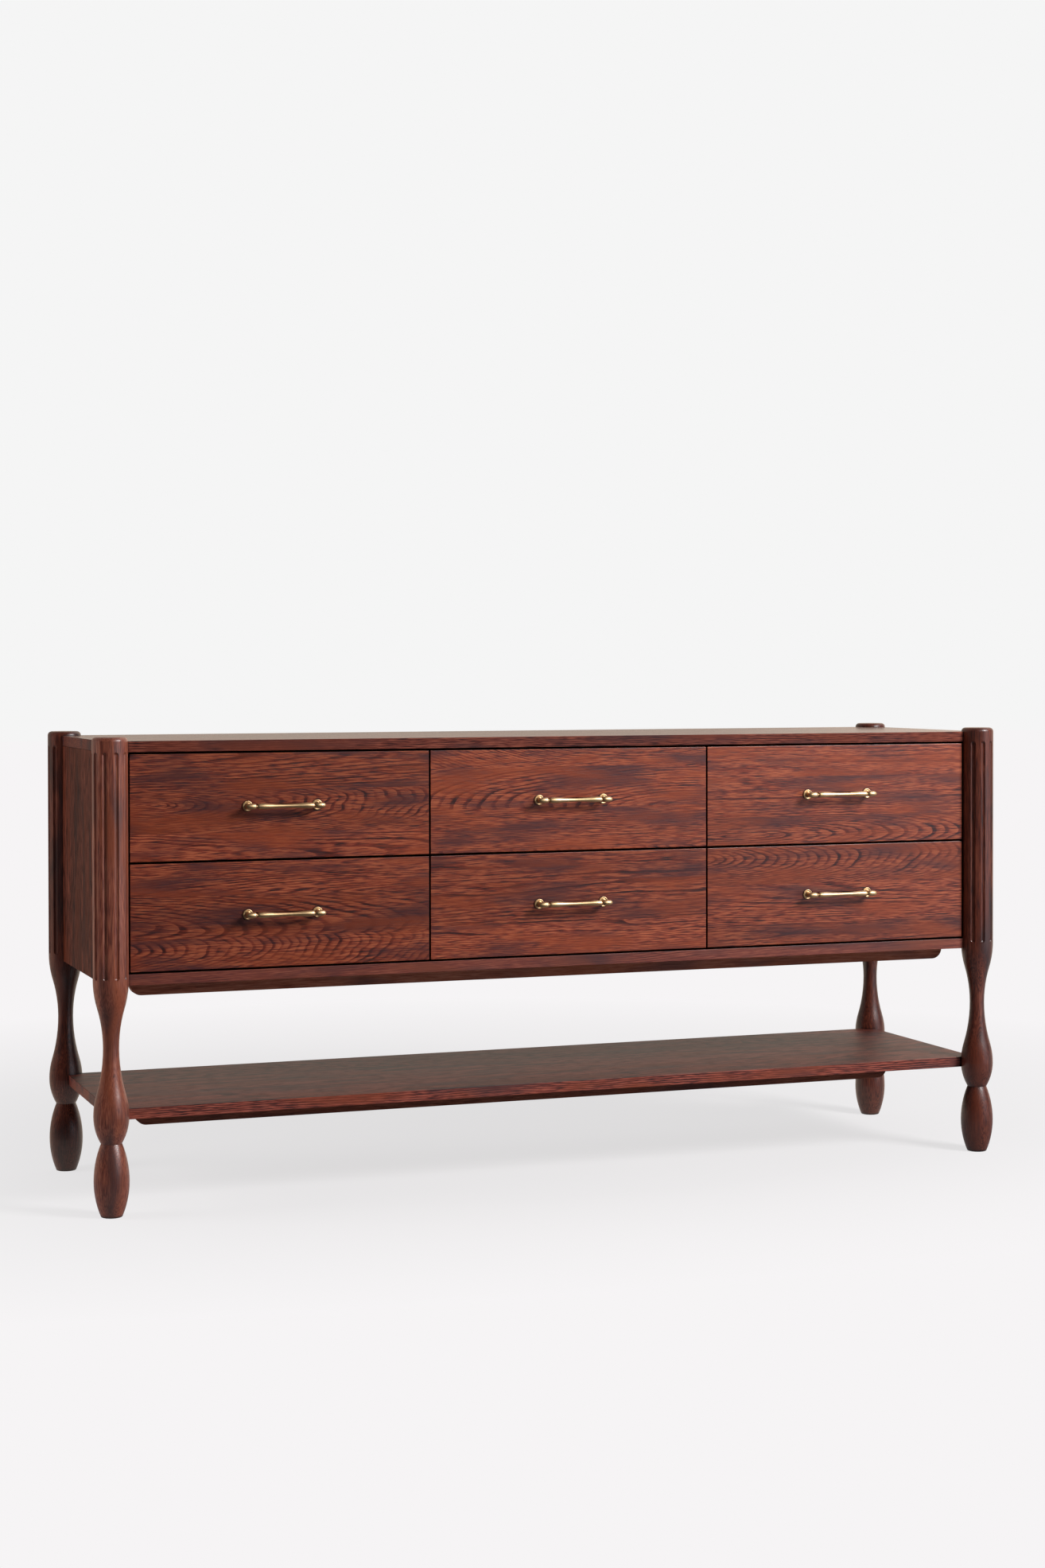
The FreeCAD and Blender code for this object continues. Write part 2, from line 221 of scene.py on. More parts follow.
def early_wood(tree, kind, board):
    """How much porous early wood, which soaks up the stain, is at a point."""
    thin, wide = kind["ring"]
    ring_width = add(tree, "MapRange", {0: board["other_luck"][0], 3: thin, 4: wide})
    radius = pith_distance(tree, kind, board)
    rings = add(tree, "Math", {0: radius, 1: ring_width}, operation="DIVIDE")
    phase = add(tree, "Math", {0: rings}, operation="FRACT")
    year = add(tree, "Math", {0: rings}, operation="FLOOR")
    year_luck = add(tree, "TexWhiteNoise", {"W": year}, noise_dimensions="1D")
    early = add(tree, "ValToRGB", {0: phase}, stops=RING_STEPS)
    strength = add(tree, "MapRange", {0: year_luck, 3: FAINTEST_RING_SHARE, 4: 1.0})
    early = add(tree, "Math", {0: early, 1: strength}, operation="MULTIPLY")

    # In clear stretches the rings show less
    clear_at = place_in_noise(tree, board, CLEAR_SCALE)
    clear = add(tree, "TexNoise", {"Vector": clear_at, "Scale": 1.0, "Detail": 2.0, "Roughness": 0.5})
    shown = add(tree, "MapRange", {0: clear, 1: 0.36, 2: 0.6, 3: 1.0, 4: 0.4})
    return add(tree, "Math", {0: early, 1: shown}, operation="MULTIPLY")


def pores_and_streaks(tree, kind, board):
    """Fine dashes along the grain, and softer streaks among them.

    Real pores are finer than half a millimetre. They are drawn coarser, so that they show.
    """
    pore_long, pore_thick = kind["pore"]
    pore_scale = (1 / pore_long, 1 / pore_thick, 1 / pore_thick)
    streak_scale = tuple(scale * STREAK_SCALE_SHARE for scale in pore_scale)
    dashes_at = place_in_noise(tree, board, pore_scale)
    streaks_at = place_in_noise(tree, board, streak_scale)
    dashes = add(tree, "TexNoise", {"Vector": dashes_at, "Scale": 1.0, "Detail": 1.5, "Roughness": 0.6})
    streaks = add(tree, "TexNoise", {"Vector": streaks_at, "Scale": 1.0, "Detail": 2.0, "Roughness": 0.6})
    return dashes, streaks


def wood_grain(tree, kind):
    """All that a finish draws on: early wood, pores, streaks, patches and the board's own tone."""
    board = sawn_boards(tree, kind)
    dashes, streaks = pores_and_streaks(tree, kind, board)
    patches_at = place_in_noise(tree, board, PATCH_SCALE)
    patches = add(tree, "TexNoise", {"Vector": patches_at, "Scale": 1.0, "Detail": 2.0, "Roughness": 0.5})
    return {
        "early": early_wood(tree, kind, board),
        "dashes": dashes,
        "streaks": streaks,
        "patches": add(tree, "SeparateXYZ", {0: patches.outputs["Color"]}).outputs,
        "tone": board["other_luck"][1],
    }


# Wood: finishes

# A shade runs from clear pale wood, 0, over the common ground to the deepest stain, 1
PLAIN_SHADE = 0.28
GROUND_SHADE = 0.42
# How far the marks of the wood move the shade: between pores and at them, in streaks, in open pores
THREAD_SHADES = (-0.54, 0.18)
STREAK_SHADE = 0.12
PORE_SHADE = 0.34
# How much rougher the wood is in a pore
PORE_ROUGHNESS = 0.12
# Boards of one piece differ this much in brightness
BOARD_VALUES = (0.85, 1.15)
# Painted shade darkens gaps and corners up to this wide, down to this brightness
PAINTED_SHADE_REACH = 6 * MM
PAINTED_SHADE_DARKEST = 0.15


def stain_colour(tree, wood, pores, tones, figure):
    """Stain is deepest in pores and early wood, and took cooler or warmer in patches."""
    deep, ground, pale, cool, warm = (linear(tone) for tone in tones)
    between, at_pore = (shade * figure for shade in THREAD_SHADES)
    threads = add(tree, "MapRange", {0: wood["dashes"], 1: 0.3, 2: 0.6, 3: between, 4: at_pore})
    streaks = add(tree, "MapRange", {0: wood["streaks"], 1: 0.3, 2: 0.7, 3: -STREAK_SHADE, 4: STREAK_SHADE})
    shade = add(tree, "Math", {0: wood["early"], 1: figure, 2: streaks}, operation="MULTIPLY_ADD")
    shade = add(tree, "Math", {0: shade, 1: threads}, operation="ADD")
    shade = add(tree, "Math", {0: pores, 1: PORE_SHADE * figure, 2: shade}, operation="MULTIPLY_ADD")
    shade = add(tree, "Math", {0: shade, 1: PLAIN_SHADE}, operation="ADD")
    colour = add(tree, "ValToRGB", {0: shade}, stops=[(0.0, pale), (GROUND_SHADE, ground), (1.0, deep)])
    cool_share = add(tree, "MapRange", {0: wood["patches"][0], 1: 0.48, 2: 0.66, 3: 0.0, 4: 0.8})
    colour = add(tree, "MixRGB", {0: cool_share, 1: colour, 2: cool})
    warm_share = add(tree, "MapRange", {0: wood["patches"][1], 1: 0.5, 2: 0.66, 3: 0.0, 4: 0.6})
    return add(tree, "MixRGB", {0: warm_share, 1: colour, 2: warm})


def stained_ash(name, kind, tones, roughness=0.36, specular=0.5, figure=1.0, coat=0.0, painted_top_shade=1.0):
    """Ash soaked in red-brown stain under satin lacquer: dark open pores and a soft sheen.

    Figure is how boldly the grain shows; coat is for the faces that look up, and the painted top shade
    darkens them. Gaps and corners get painted shade too.
    """
    material, tree = new_material(name)
    wood = wood_grain(tree, kind)
    pores = add(tree, "MapRange", {0: wood["dashes"], 1: 0.55, 2: 0.66})
    normal = add(tree, "SeparateXYZ", {0: add(tree, "NewGeometry").outputs["Normal"]})
    upward = add(tree, "MapRange", {0: normal.outputs[2], 1: 0.3, 2: 0.9})

    # Brightness of the board, and painted shade: darker on faces that look up, and in gaps and corners
    darkest, lightest = BOARD_VALUES
    board_value = add(tree, "MapRange", {0: wood["tone"], 3: darkest, 4: lightest})
    # Painted shade: faces that look up are darkened by the painted top shade
    painted_face_shade = add(tree, "MapRange", {0: upward, 3: 1.0, 4: painted_top_shade})
    value = add(tree, "Math", {0: board_value, 1: painted_face_shade}, operation="MULTIPLY")
    # Painted shade in gaps and corners, found by ambient occlusion
    painted_shade_ao = add(tree, "AmbientOcclusion", {"Distance": PAINTED_SHADE_REACH}, samples=6)
    painted_crevice_shade = add(
        tree, "MapRange", {0: painted_shade_ao.outputs["AO"], 1: 0.5, 2: 0.93, 3: PAINTED_SHADE_DARKEST, 4: 1.0}
    )
    value = add(tree, "Math", {0: value, 1: painted_crevice_shade}, operation="MULTIPLY")
    colour = stain_colour(tree, wood, pores, tones, figure)
    colour = add(tree, "HueSaturation", {"Value": value, "Color": colour})

    # Pores lie a little below the lacquer and shine less
    relief = add(tree, "Math", {0: wood["early"], 1: 0.5, 2: pores}, operation="MULTIPLY_ADD")
    sunken = {"Strength": 0.25, "Distance": 0.2 * MM, "Height": relief}
    inputs = {
        "Base Color": colour,
        "Roughness": add(tree, "MapRange", {0: pores, 3: roughness, 4: roughness + PORE_ROUGHNESS}),
        "IOR": 1.5,
        "Specular IOR Level": specular,
        "Normal": add(tree, "Bump", sunken, invert=True),
    }
    if coat:
        inputs["Coat Weight"] = add(tree, "Math", {0: upward, 1: coat}, operation="MULTIPLY")
        inputs["Coat Roughness"] = 0.12
        inputs["Coat IOR"] = 1.5
    add(tree, "OutputMaterial", {"Surface": add(tree, "BsdfPrincipled", inputs)})
    return material


def bare_birch(name, kind):
    """Birch with a clear sealer: pale, fine and close-grained, with a dull surface."""
    material, tree = new_material(name)
    wood = wood_grain(tree, kind)
    shade = add(tree, "Math", {0: wood["early"], 1: 0.5, 2: wood["streaks"]}, operation="MULTIPLY_ADD")
    tones = [(0.3, linear("#dcc19a")), (0.6, linear("#cfae82")), (1.0, linear("#b98f63"))]
    inputs = {
        "Base Color": add(tree, "ValToRGB", {0: shade}, stops=tones),
        "Roughness": 0.55,
        "IOR": 1.5,
        "Normal": add(tree, "Bump", {"Strength": 0.2, "Distance": 0.1 * MM, "Height": wood["streaks"]}),
    }
    add(tree, "OutputMaterial", {"Surface": add(tree, "BsdfPrincipled", inputs)})
    return material


# Metal


def antique_brass(name):
    """Cast brass under clear lacquer, darkened and rubbed back: warm high spots, brown recesses."""
    cloud_size = 9 * MM
    recess_size = 6 * MM
    material, tree = new_material(name)
    place = add(tree, "TexCoord").outputs["Object"]
    clouds = add(
        tree, "TexNoise", {"Vector": place, "Scale": 1 / cloud_size, "Detail": 3.0, "Roughness": 0.6}
    )
    recess = add(tree, "AmbientOcclusion", {"Distance": recess_size}, samples=8)
    open_share = add(tree, "MapRange", {0: recess.outputs["AO"], 1: 0.35, 2: 0.85, 3: 0.0, 4: 1.0})
    rubbed = add(tree, "MapRange", {0: clouds, 1: 0.3, 2: 0.7, 3: 0.75, 4: 1.0})
    bright = add(tree, "Math", {0: open_share, 1: rubbed}, operation="MULTIPLY")
    inputs = {
        "Base Color": add(tree, "MixRGB", {0: bright, 1: linear("#6a4b2b"), 2: linear("#e8c28e")}),
        "Metallic": 1.0,
        "Roughness": add(tree, "MapRange", {0: bright, 3: 0.6, 4: 0.4}),
        "Coat Weight": 1.0,
        "Coat Roughness": 0.25,
        "Coat IOR": 1.5,
    }
    add(tree, "OutputMaterial", {"Surface": add(tree, "BsdfPrincipled", inputs)})
    return material


def zinc_plated_steel(name):
    """Rolled steel with bright zinc plating: a cool grey with faint clouded streaks."""
    # The streaks are about 83 mm long and 3 mm wide
    rolled_scale = (300, 12, 300)
    material, tree = new_material(name)
    place = add(tree, "TexCoord").outputs["Object"]
    rolled = add(tree, "VectorMath", {0: place, 1: rolled_scale}, operation="MULTIPLY")
    streaks = add(tree, "TexNoise", {"Vector": rolled, "Scale": 1.0, "Detail": 3.0})
    inputs = {
        "Base Color": add(tree, "MixRGB", {0: streaks, 1: linear("#a9adb1"), 2: linear("#c9cccd")}),
        "Metallic": 1.0,
        "Roughness": add(tree, "MapRange", {0: streaks, 1: 0.3, 2: 0.7, 3: 0.28, 4: 0.42}),
    }
    add(tree, "OutputMaterial", {"Surface": add(tree, "BsdfPrincipled", inputs)})
    return material


# Timber of each kind of piece: how it is sawn and how its rings lie

# A bay or a board this wide takes in the whole piece
WHOLE = 10.0


def timber(**changes):
    """Sawn boards, unless changed: sizes of bays and boards, place of the pith, rings and pores."""
    kind = {
        "axes": (0, 2, 1),
        "bay": (WHOLE, WHOLE, WHOLE),
        "middle": (0.0, 0.0, 0.0),
        "seed": 1.0,
        "board": 85 * MM,
        "stagger": 1.0,
        "pith_spread": 50 * MM,
        "pith_depth": (12 * MM, 80 * MM),
        "slant": 0.3,
        "ring": (2.6 * MM, 5.0 * MM),
        "wave": (260 * MM, 46 * MM, 17 * MM),
        "pore": (28 * MM, 1.5 * MM),
    }
    kind.update(changes)
    return kind


FRONT_TIMBER = timber(
    bay=(column_pitch, row_pitch, WHOLE),
    middle=(front_middle.x, front_middle.z, front_low.y),
    board=78 * MM,
    seed=21.0,
)
TOP_TIMBER = timber(axes=(0, 1, 2), middle=(0.0, 0.0, 850 * MM), board=95 * MM, slant=0.1, seed=7.0)
PANEL_TIMBER = timber(axes=(2, 1, 0), bay=(WHOLE, WHOLE, 400 * MM), board=95 * MM, slant=0.1, seed=11.0)
LONG_TIMBER = timber(axes=(0, 1, 2), middle=(0.0, 0.0, 420 * MM), board=120 * MM, slant=0.1, seed=13.0)
BACK_TIMBER = timber(seed=17.0)
BOX_TIMBER = timber(axes=(0, 1, 2), board=140 * MM, seed=19.0)
# Each post is one piece, turned from a square length
POST_TIMBER = timber(
    axes=(2, 0, 1),
    bay=(WHOLE, -2 * post_middle.x, back_post_middle.y - post_middle.y),
    middle=(430 * MM, post_middle.x, post_middle.y),
    board=WHOLE,
    stagger=0.0,
    pith_spread=12 * MM,
    pith_depth=(22 * MM, 40 * MM),
    slant=0.03,
    ring=(1.4 * MM, 2.2 * MM),
    wave=(250 * MM, 50 * MM, 9 * MM),
    seed=5.0,
)

# Tones of the stain on each kind of piece: pores, common ground, clear wood, cool and warm patches
FRONT_TONES = ("#2e0d0b", "#7c3223", "#ad5c3d", "#492527", "#8e3d1e")
TOP_TONES = ("#2c1314", "#652d24", "#8a4a3a", "#3f2729", "#713422")
SHELF_TONES = ("#321312", "#7b3227", "#a55544", "#4a2b2c", "#8a3d21")
BOTTOM_TONES = ("#2f1110", "#6d3027", "#935240", "#462829", "#7a3d28")
SIDE_TONES = ("#170908", "#4f241c", "#7a4030", "#2f1d1c", "#5e2a19")
POST_TONES = ("#180908", "#53241b", "#784130", "#2d1e1e", "#622b1a")
# A lighter copy of the post tones: painted light on the front left post
PAINTED_LIT_POST_TONES = ("#371712", "#8c4737", "#b26c53", "#523533", "#9a4f32")
# Rail tones are lifted to make up for the shade under the case and the shelf: partly painted light, which
# the back shares
RAIL_TONES = ("#3a1c19", "#7a4434", "#96604c", "#553634", "#804630")
# The case rails' tones are lifted further still: painted light
PAINTED_LIT_CASE_RAIL_TONES = ("#4c261f", "#9c5944", "#ba7962", "#6c4643", "#a25b3f")

# The finish of each of the record's material slots
FINISHES = {
    # The fronts' faces that look up get painted shade, which darkens the gaps between the drawers
    "stained_front": stained_ash(
        "stained_ash_fronts", FRONT_TIMBER, FRONT_TONES, roughness=0.3, painted_top_shade=0.3
    ),
    "stained_top": stained_ash(
        "stained_ash_top", TOP_TIMBER, TOP_TONES, roughness=0.5, specular=0.15, coat=0.45
    ),
    "stained_panel": stained_ash(
        "stained_ash_sides", PANEL_TIMBER, SIDE_TONES, roughness=0.5, specular=0.05, figure=1.6
    ),
    "stained_post": stained_ash(
        "stained_ash_posts", POST_TIMBER, POST_TONES, roughness=0.3, specular=0.64, figure=0.65
    ),
    "stained_rail": stained_ash(
        "stained_ash_shelf_rail", LONG_TIMBER, RAIL_TONES, roughness=0.55, specular=0.2, figure=0.5
    ),
    "stained_back": stained_ash(
        "stained_ash_back", BACK_TIMBER, RAIL_TONES, roughness=0.6, specular=0.3, figure=0.6
    ),
    "bare_wood": bare_birch("sealed_birch", BOX_TIMBER),
    "antique_brass": antique_brass("antique_brass"),
    "runner_steel": zinc_plated_steel("zinc_plated_runners"),
    "screw_steel": zinc_plated_steel("zinc_plated_screws"),
}
# The case rails' lighter finish is painted light
PAINTED_LIT_CASE_RAIL_FINISH = stained_ash(
    "stained_ash_case_rails_painted_lit", LONG_TIMBER, PAINTED_LIT_CASE_RAIL_TONES, roughness=0.55, specular=0.2, figure=0.4
)
# Pieces with a finish of their own: the bottom panel and the shelf took the stain differently, and the
# shelf's top face has painted shade; the front left post and the case rails are lighter copies, which is
# painted light
OWN_FINISHES = {
    "bottom_panel": stained_ash("stained_ash_bottom", LONG_TIMBER, BOTTOM_TONES, figure=0.5),
    # The shelf's top face gets painted shade
    "shelf": stained_ash(
        "stained_ash_shelf",
        TOP_TIMBER,
        SHELF_TONES,
        roughness=0.5,
        specular=0.42,
        figure=1.3,
        painted_top_shade=0.58,
    ),
    # Painted light: the front left post gets a lighter copy of the post tones
    "post_front_left": stained_ash(
        "stained_ash_painted_lit_post", POST_TIMBER, PAINTED_LIT_POST_TONES, roughness=0.3, specular=0.7, figure=0.65
    ),
    "case_rail_front": PAINTED_LIT_CASE_RAIL_FINISH,
    "case_rail_back": PAINTED_LIT_CASE_RAIL_FINISH,
}

FRONT_EASE = 1.3 * MM
BOARD_EASE = 0.8 * MM


def ease_edges(name, width):
    """Join the loose triangles of a CAD board and round its sharp edges a little."""
    node = frame["nodes"][name]
    weld = node.modifiers.new("joined_faces", "WELD")
    weld.merge_threshold = 0.01 * MM
    ease = node.modifiers.new("eased_edges", "BEVEL")
    ease.width = width
    ease.segments = 3
    ease.limit_method = "ANGLE"
    ease.angle_limit = math.radians(40)
    ease.use_clamp_overlap = False
    ease.harden_normals = True


def dress_frame():
    """Give each CAD node its finish, and ease the edges of its boards."""
    slots = {row["node"]: row["material_slot"] for row in frame["record"]["subparts"]}
    for name, node in frame["nodes"].items():
        node.material_slots[0].material = OWN_FINISHES.get(name, FINISHES[slots[name]])
    for drawer in DRAWERS:
        ease_edges(f"{drawer}_front", FRONT_EASE)
    for name in CASE_BOARDS:
        ease_edges(name, BOARD_EASE)


# Pulls

# From the drawer front out to the axis of the bar, and from one of its posts to the other
PULL_REACH = 24 * MM
PULL_POST_SPACING = 131 * MM
# Half of the bar, from its waist to the tip of its bead: millimetres along the bar, radius
BAR_HALF = [
    (0.0, 3.7), (8.0, 3.8), (16.0, 4.1), (25.0, 4.7), (33.0, 5.5), (39.0, 5.9), (44.0, 5.95), (48.5, 5.6),
    (51.6, 5.1), (52.8, 4.3), (53.1, 3.0), (54.0, 2.7), (55.0, 3.3), (56.2, 4.6), (58.8, 5.6),
    (62.5, 5.98), (66.5, 5.9), (70.5, 5.2), (73.4, 3.9), (75.1, 2.2), (75.5, 1.0), (75.5, 0.0),
]
# A rosette and its post, from the drawer front out to the bead: millimetres of height, radius
ROSETTE = [
    (0.0, 0.0), (0.0, 9.6), (0.1, 10.0), (1.3, 10.1), (2.2, 9.6), (2.5, 8.6), (2.1, 7.4), (1.9, 6.4),
    (2.2, 5.6), (3.4, 4.9), (6.0, 4.3), (10.0, 4.0), (18.0, 3.9), (22.0, 3.9), (22.0, 0.0),
]
TURNING_STEPS = 16
ROUNDING_LEVELS = 2


def turned(profile):
    """A closed turning on the X axis from (place, radius) pairs, in millimetres."""
    bm = bmesh.new()
    points = [bm.verts.new((place * MM, 0, radius * MM)) for place, radius in profile]
    edges = [bm.edges.new(pair) for pair in zip(points, points[1:])]
    bmesh.ops.spin(
        bm,
        geom=points + edges,
        cent=(0, 0, 0),
        axis=(1, 0, 0),
        angle=2 * math.pi,
        steps=TURNING_STEPS,
        use_merge=True,
    )
    bmesh.ops.remove_doubles(bm, verts=bm.verts, dist=0.005 * MM)
    return bm


def finish_piece(name, bm, body, slot):
    """Make a smooth piece of a finished bmesh; it rides on a body."""
    bmesh.ops.recalc_face_normals(bm, faces=bm.faces)
    for face in bm.faces:
        face.smooth = True
    mesh = bpy.data.meshes.new(name)
    bm.to_mesh(mesh)
    bm.free()
    mesh.materials.append(FINISHES[slot])
    piece = bpy.data.objects.new(name, mesh)
    bpy.context.scene.collection.objects.link(piece)
    rounding = piece.modifiers.new("rounding", "SUBSURF")
    rounding.levels = ROUNDING_LEVELS
    rounding.render_levels = ROUNDING_LEVELS
    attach(piece, body)
    return piece


def make_bar(drawer):
    """The waisted bar of one pull, with a bead at each end, in place of the frame's plainer one."""
    middle = middle_of(f"{drawer}_pull_bar")
    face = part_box(f"{drawer}_front")[0].y
    centre = Vector((middle.x, face - PULL_REACH, middle.z))
    whole = [(-place, radius) for place, radius in reversed(BAR_HALF[1:])] + BAR_HALF
    bar = turned(whole)
    bmesh.ops.translate(bar, verts=bar.verts, vec=centre)
    bar = finish_piece(f"{drawer}_bar", bar, f"{drawer}_drawer", "antique_brass")
    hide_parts(f"{drawer}_pull_bar")


def make_posts(drawer):
    """The two posts of one pull, each on its rosette, in place of the frame's plainer ones."""
    middle = middle_of(f"{drawer}_pull_bar")
    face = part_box(f"{drawer}_front")[0].y
    outward = Matrix.Rotation(math.radians(-90), 4, "Z")
    posts = bmesh.new()
    for side in (-1, 1):
        post = turned(ROSETTE)
        mesh = bpy.data.meshes.new("post")
        post.to_mesh(mesh)
        post.free()
        place = Matrix.Translation((middle.x + side * PULL_POST_SPACING / 2, face, middle.z))
        mesh.transform(place @ outward)
        posts.from_mesh(mesh)
        bpy.data.meshes.remove(mesh)
    posts = finish_piece(f"{drawer}_posts", posts, f"{drawer}_drawer", "antique_brass")
    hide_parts(f"{drawer}_pull_posts")


# Room: floor, world, lamps and camera

# What the lacquer and the brass mirror: a cool window in front, a warm backdrop behind
WINDOW_TINT = "#f4f4ff"
BACKDROP_TINT = "#ffeedc"
DARKEST_MIRRORED = 0.02
BRIGHTEST_FLOOR = 1.0
BRIGHTEST_WORLD = 1.6
FLOOR_HALF_SIZE = 30
# How far from the dresser's middle the floor has become the backdrop, and where that starts
REACH_SIDE, REACH_BACK, REACH_FRONT = 2.4, 2.5, 1.05
FADE_START_SHARE = 0.34
# The floor near the dresser is a glow and, added to it, a grey that keeps the shadow
NEAR_GLOW = (0.691, 0.684, 0.688, 1)
SHADOW_GREY = (0.23, 0.224, 0.227, 1)
# The backdrop grows brighter from left to right, and the window is a broad soft bar
BACKDROP_STEPS = [(0.0, grey(0.25)), (0.1, grey(0.5)), (0.45, grey(0.5)), (0.49, grey(0.75))]
WINDOW_STEPS = [(0.28, grey(0.0)), (0.48, grey(0.75)), (0.72, grey(0.75)), (0.9, grey(0.0))]


def floor_in_view(tree, x, y):
    """What the camera sees of the floor: pale, with the shadow, fading into the backdrop."""
    sideways = add(tree, "Math", {0: x, 1: REACH_SIDE}, operation="DIVIDE")
    back = add(tree, "Math", {0: y, 1: REACH_BACK}, operation="DIVIDE")
    forward = add(tree, "Math", {0: y, 1: -REACH_FRONT}, operation="DIVIDE")
    lengthways = add(tree, "Math", {0: back, 1: forward}, operation="MAXIMUM")
    in_reach = add(tree, "CombineXYZ", {0: sideways, 1: lengthways})
    reach = add(tree, "VectorMath", {0: in_reach}, operation="LENGTH").outputs["Value"]
    far = add(tree, "MapRange", {0: reach, 1: FADE_START_SHARE, 2: 1.0})
    glow = add(tree, "Emission", {"Color": NEAR_GLOW, "Strength": 1.0})
    shadow_catcher = add(tree, "BsdfDiffuse", {"Color": SHADOW_GREY})
    near = add(tree, "AddShader", {0: glow, 1: shadow_catcher})
    away = add(tree, "Emission", {"Color": linear("#f6f4f5"), "Strength": 1.0})
    return add(tree, "MixShader", {0: far, 1: near, 2: away})


def floor_in_gloss(tree, x, y):
    """What the lacquer and the brass mirror of the floor: pale behind and at the front right."""
    behind = add(tree, "MapRange", {0: y, 1: -0.6, 2: 0.5})
    rightward = add(tree, "MapRange", {0: x, 1: -1.4, 2: -0.9, 3: 0.43, 4: 0.85})
    backdrop_share = add(tree, "Math", {0: behind, 1: rightward}, operation="MULTIPLY")
    # The window's light lies along a slanted line and is weaker close to the dresser
    beside = add(tree, "Math", {0: y, 1: 0.4, 2: x}, operation="MULTIPLY_ADD")
    window_share = add(tree, "MapRange", {0: beside, 1: -0.5, 2: 1.8})
    in_front = add(tree, "MapRange", {0: y, 1: -2.2, 2: -0.8, 3: 1.0, 4: 0.45})
    window_share = add(tree, "Math", {0: window_share, 1: in_front}, operation="MULTIPLY")
    bright_share = add(tree, "Math", {0: backdrop_share, 1: window_share}, operation="MAXIMUM")
    level = add(tree, "MapRange", {0: bright_share, 3: DARKEST_MIRRORED, 4: BRIGHTEST_FLOOR})
    tint = add(tree, "MixRGB", {0: behind, 1: linear(WINDOW_TINT), 2: linear(BACKDROP_TINT)})
    return add(tree, "Emission", {"Color": tint, "Strength": level})


def pale_floor():
    """Painted studio floor: pale to the camera, grey where it bounces light, a soft window in gloss."""
    material, tree = new_material("studio_floor")
    path = add(tree, "LightPath")
    place = add(tree, "TexCoord").outputs["Object"]
    x, y = add(tree, "SeparateXYZ", {0: place}).outputs[:2]
    grit = add(tree, "TexNoise", {"Vector": place, "Scale": 6.0, "Detail": 2.0})
    paint = add(tree, "MixRGB", {0: grit, 1: linear("#bdbbbb"), 2: linear("#c2c0c0")})
    bounced = add(tree, "BsdfDiffuse", {"Color": paint})
    shown = floor_in_view(tree, x, y)
    mirrored = floor_in_gloss(tree, x, y)
    seen = add(tree, "MixShader", {0: path.outputs["Is Camera Ray"], 1: bounced, 2: shown})
    seen = add(tree, "MixShader", {0: path.outputs["Is Glossy Ray"], 1: seen, 2: mirrored})
    add(tree, "OutputMaterial", {"Surface": seen})
    return material


def make_floor():
    """A wide plain floor."""
    bm = bmesh.new()
    bmesh.ops.create_grid(bm, x_segments=1, y_segments=1, size=FLOOR_HALF_SIZE)
    mesh = bpy.data.meshes.new("floor")
    bm.to_mesh(mesh)
    bm.free()
    mesh.materials.append(pale_floor())
    floor = bpy.data.objects.new("floor", mesh)
    bpy.context.scene.collection.objects.link(floor)


def world_in_gloss(tree, x, y):
    """What the lacquer and the brass mirror of the room: a backdrop behind and a window front right."""
    behind = add(tree, "MapRange", {0: y, 1: -0.2, 2: 0.5})
    rightward = add(tree, "ValToRGB", {0: x}, stops=BACKDROP_STEPS)
    backdrop_share = add(tree, "Math", {0: behind, 1: rightward}, operation="MULTIPLY")
    window_share = add(tree, "ValToRGB", {0: x}, stops=WINDOW_STEPS)
    bright_share = add(tree, "Math", {0: backdrop_share, 1: window_share}, operation="MAXIMUM")
    level = add(tree, "MapRange", {0: bright_share, 3: DARKEST_MIRRORED, 4: BRIGHTEST_WORLD})
    tint = add(tree, "MixRGB", {0: behind, 1: linear(WINDOW_TINT), 2: linear(BACKDROP_TINT)})
    return add(tree, "Background", {"Color": tint, "Strength": level})


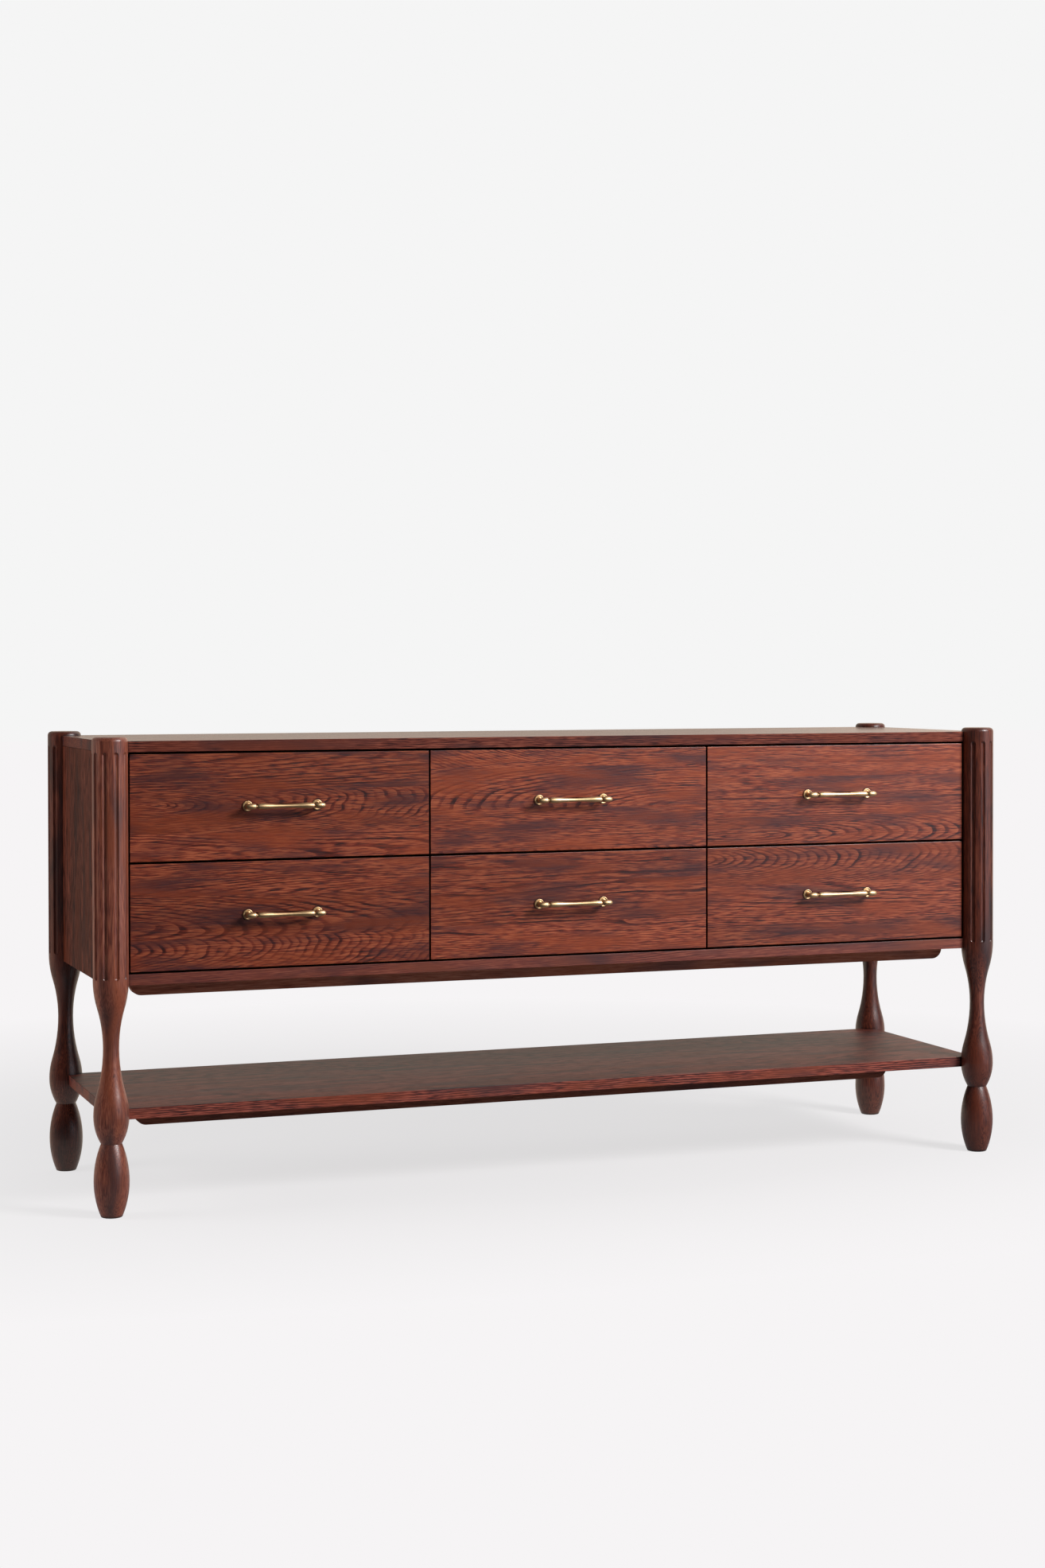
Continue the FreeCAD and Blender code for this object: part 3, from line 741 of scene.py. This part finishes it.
def make_world():
    """A world that fills the shadows softly and shows pale behind the dresser."""
    world = bpy.data.worlds.new("studio")
    bpy.context.scene.world = world
    world.use_nodes = True
    tree = world.node_tree
    tree.nodes.clear()
    path = add(tree, "LightPath")
    x, y = add(tree, "SeparateXYZ", {0: add(tree, "TexCoord").outputs["Generated"]}).outputs[:2]
    fill_level = add(tree, "MapRange", {0: y, 1: -0.5, 2: 0.7, 3: 0.05, 4: 0.28})
    fill = add(tree, "Background", {"Color": grey(1.0), "Strength": fill_level})
    shown = add(tree, "Background", {"Color": linear("#f5f5f5"), "Strength": 1.0})
    mirrored = world_in_gloss(tree, x, y)
    glossy, clear = path.outputs["Is Glossy Ray"], path.outputs["Is Transmission Ray"]
    shiny = add(tree, "Math", {0: glossy, 1: clear}, operation="MAXIMUM")
    mixed = add(tree, "MixShader", {0: path.outputs["Is Camera Ray"], 1: fill, 2: shown})
    mixed = add(tree, "MixShader", {0: shiny, 1: mixed, 2: mirrored})
    add(tree, "OutputWorld", {"Surface": mixed})


def make_lamp(name, place, target, size, power, mirrored):
    """A square softbox that faces a target; unless mirrored, it doesn't show in gloss."""
    light = bpy.data.lights.new(name, "AREA")
    light.shape = "SQUARE"
    light.size = size
    light.energy = power
    lamp = bpy.data.objects.new(name, light)
    lamp.visible_glossy = mirrored
    lamp.location = place
    aim = Vector(target) - Vector(place)
    lamp.rotation_euler = aim.to_track_quat("-Z", "Y").to_euler()
    bpy.context.scene.collection.objects.link(lamp)


def make_camera():
    """A camera a little above the top of the dresser, to the left of its front."""
    camera_data = bpy.data.cameras.new("camera")
    camera_data.sensor_width = 36.0
    camera_data.lens = 58.29
    camera_data.shift_y = -0.04637
    camera = bpy.data.objects.new("camera", camera_data)
    camera.location = (-1.7612, -4.7260, 0.9778)
    camera.rotation_euler = Euler([math.radians(angle) for angle in (89.046, 0.097, -20.291)])
    bpy.context.scene.collection.objects.link(camera)
    bpy.context.scene.camera = camera


dress_frame()
for drawer in DRAWERS:
    make_bar(drawer)
    make_posts(drawer)
make_floor()
make_world()
# The key lamp is high at the front right; the others lift the front and the left side a little
make_lamp("key", (2.62, -3.25, 2.88), (-0.1, -0.2, 0.5), size=1.4, power=188, mirrored=True)
make_lamp("front", (0.6, -3.6, 2.6), (0.0, -0.2, 0.5), size=1.5, power=7, mirrored=True)
make_lamp("side", (-2.3, 0.1, 1.0), (-0.9, 0.1, 0.6), size=0.8, power=10, mirrored=False)
make_camera()
bpy.context.scene.view_settings.view_transform = "Standard"
